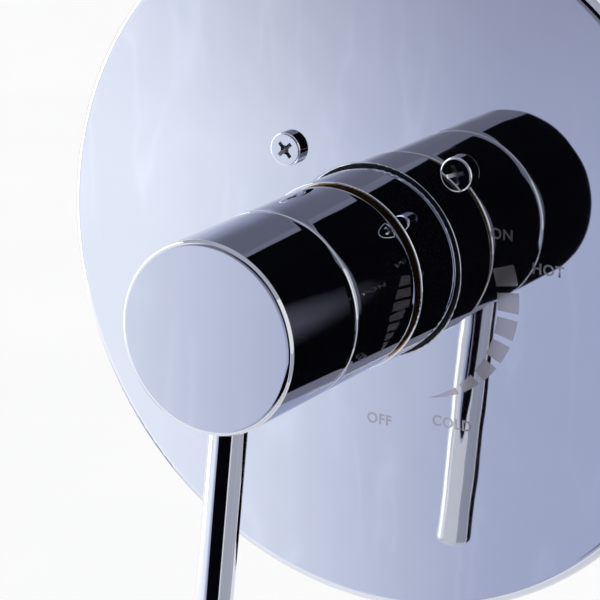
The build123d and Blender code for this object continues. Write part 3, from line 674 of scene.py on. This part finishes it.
weave = reckon(tree, "MULTIPLY", noise(tree, CLOTH_WAVES), CLOTH_WEAVE)
cloth_tone = reckon(tree, "ADD", reckon(tree, "ADD", fringe, weave), TONE_START)
tree.links.new(tones(tree, cloth_tone, CLOTH_DARK, CLOTH_LIGHT), shader.inputs["Base Color"])
shader.inputs["Roughness"].default_value = 1.0
shader.inputs["Specular IOR Level"].default_value = 0.0
stand("black_cloth", facing_wall(CLOTH_PLACE, CLOTH_OUTLINE), black)
hem, tree, emission = glow("cloth_hem")
hem_tone = tones(tree, noise(tree, HEM_WAVES, detail=1), HEM_DARK, HEM_LIGHT)
tree.links.new(hem_tone, emission.inputs["Color"])
stand("cloth_hem", facing_wall(HEM_PLACE, HEM_OUTLINE), hem)

# Grey cards: one hangs above, one stands low on the right, and one low on the left.
# The left one is white at its near end and along its top, and grey at its far end.
GREY_DARK = (0.44, 0.45, 0.53)
GREY_LIGHT = (0.52, 0.53, 0.60)
GREY_WAVES = 2
ROOF_HEIGHT = 1.1
ROOF_HALF = 1.6
SIDE_PLACE = 1.1
SIDE_HEIGHTS = (-1.05, -0.33)
SIDE_REACH = (-0.7, 1.3)
LEFT_PLACE = -1.36
LEFT_HEIGHTS = (-1.09, -0.55)
LEFT_FADE = (-0.95, -0.6)
LEFT_SHADES = [
    (-1.2, (1.3, 1.3, 1.3)), (-0.24, (1.3, 1.3, 1.3)), (-0.14, (1.2, 1.2, 1.25)), (-0.04, (0.5, 0.5, 0.64)),
    (1.0, (0.42, 0.42, 0.56)),
]
WHITE = (1.0, 1.0, 1.0)


def at_side(place, outline):
    """Corners of a card that stands at one side, from its outline along the handle and up."""
    return [(place, along, up) for along, up in outline]


grey, tree, emission = glow("grey_card")
grey_tone = tones(tree, noise(tree, GREY_WAVES, detail=1), GREY_DARK, GREY_LIGHT)
tree.links.new(grey_tone, emission.inputs["Color"])
roof_outline = oblong(-ROOF_HALF, ROOF_HALF, -ROOF_HALF, ROOF_HALF)
roof = stand("roof_card", [(across, along, ROOF_HEIGHT) for across, along in roof_outline], grey)
roof.visible_diffuse = False
stand("side_card", at_side(SIDE_PLACE, oblong(*SIDE_REACH, *SIDE_HEIGHTS)), grey)
dusk, tree, emission = glow("left_card", CARD_STRENGTH)
_, along, up = places(tree)
dusk_tone = mixed(tree, "RGBA", ramp_up(tree, up, *LEFT_FADE), shades(tree, along, LEFT_SHADES), WHITE)
tree.links.new(dusk_tone, emission.inputs["Color"])
left_reach = (LEFT_SHADES[0][0], LEFT_SHADES[-1][0])
stand("left_card", at_side(LEFT_PLACE, oblong(*left_reach, *LEFT_HEIGHTS)), dusk)

# Soft box and surround: one broad lamp on the left, in a plain white surround.
# They light the mixer evenly, and the lamp adds the gleam along its left side.
LAMP_PLACE = (-1.35, -0.2, 0.28)
LAMP_SIZES = (1.65, 0.7)
LAMP_POWER = 5.9
SURROUND_STRENGTH = 1.0
lamp = bpy.data.lights.new("soft_box", "AREA")
lamp.shape = "RECTANGLE"
lamp.size, lamp.size_y = LAMP_SIZES
lamp.energy = LAMP_POWER
soft_box = bpy.data.objects.new("soft_box", lamp)
bpy.context.scene.collection.objects.link(soft_box)
soft_box.matrix_world = Matrix.Translation(LAMP_PLACE) @ Matrix.Rotation(math.radians(-90), 4, "Y")
world = bpy.data.worlds.new("surround")
world.use_nodes = True
background = world.node_tree.nodes["Background"]
background.inputs["Color"].default_value = (*WHITE, 1)
background.inputs["Strength"].default_value = SURROUND_STRENGTH
bpy.context.scene.world = world

# Camera: close, to the right of the handle and above it, with a long lens.
# It looks past the handle's face at the plate, so that the plate shows the handle's mirror image.
CAMERA_PLACE = (0.34525, -0.59322, 0.19832)
CAMERA_YAW = math.radians(31.93)
CAMERA_DIP = math.radians(17.0)
CAMERA_ROLL = math.radians(-0.25)
LENS = 177.15
SENSOR_WIDTH = 36.0
CLIP_START = 0.01
CLIP_END = 50.0
lens = bpy.data.cameras.new("camera")
lens.lens = LENS
lens.sensor_width = SENSOR_WIDTH
lens.clip_start = CLIP_START
lens.clip_end = CLIP_END
camera = bpy.data.objects.new("camera", lens)
bpy.context.scene.collection.objects.link(camera)
aim = Matrix.Rotation(CAMERA_YAW, 4, "Z")
aim = aim @ Matrix.Rotation(math.radians(90) - CAMERA_DIP, 4, "X")
aim = aim @ Matrix.Rotation(CAMERA_ROLL, 4, "Z")
camera.matrix_world = Matrix.Translation(CAMERA_PLACE) @ aim
bpy.context.scene.camera = camera
bpy.context.scene.view_settings.view_transform = "Standard"

bpy.context.view_layer.update()
